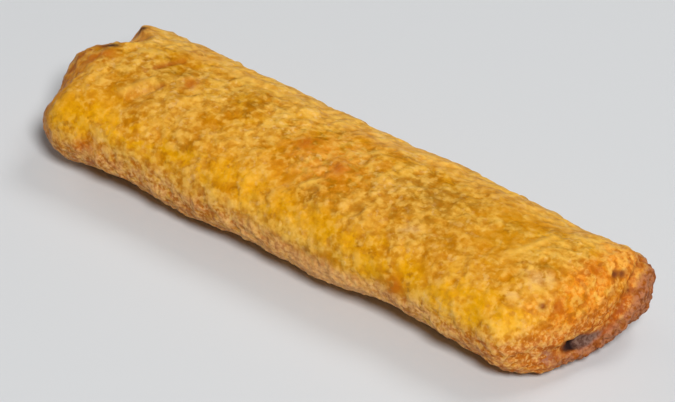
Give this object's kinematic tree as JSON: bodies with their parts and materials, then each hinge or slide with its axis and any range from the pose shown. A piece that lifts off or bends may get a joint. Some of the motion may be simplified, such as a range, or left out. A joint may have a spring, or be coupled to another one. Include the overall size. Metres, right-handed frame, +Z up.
{
  "type": "deep-fried savory roll",
  "caption": "Fat tube of deep-fried pastry, pressed a little flat, its ends folded in and sealed, lying on its flattened underside.",
  "frame": {"origin": "on the surface that the roll lies on, under the middle of its bounding box", "axes": "+X along the roll towards the end whose seam gapes, +Y across it, +Z up"},
  "size_m": [0.177, 0.0514, 0.0285],
  "materials": {
    "crust": "crisp fried crust, matte with a thin film of oil"
  },
  "bodies": {
    "root": {"pastry_roll": "crust"}
  },
  "joints": []
}
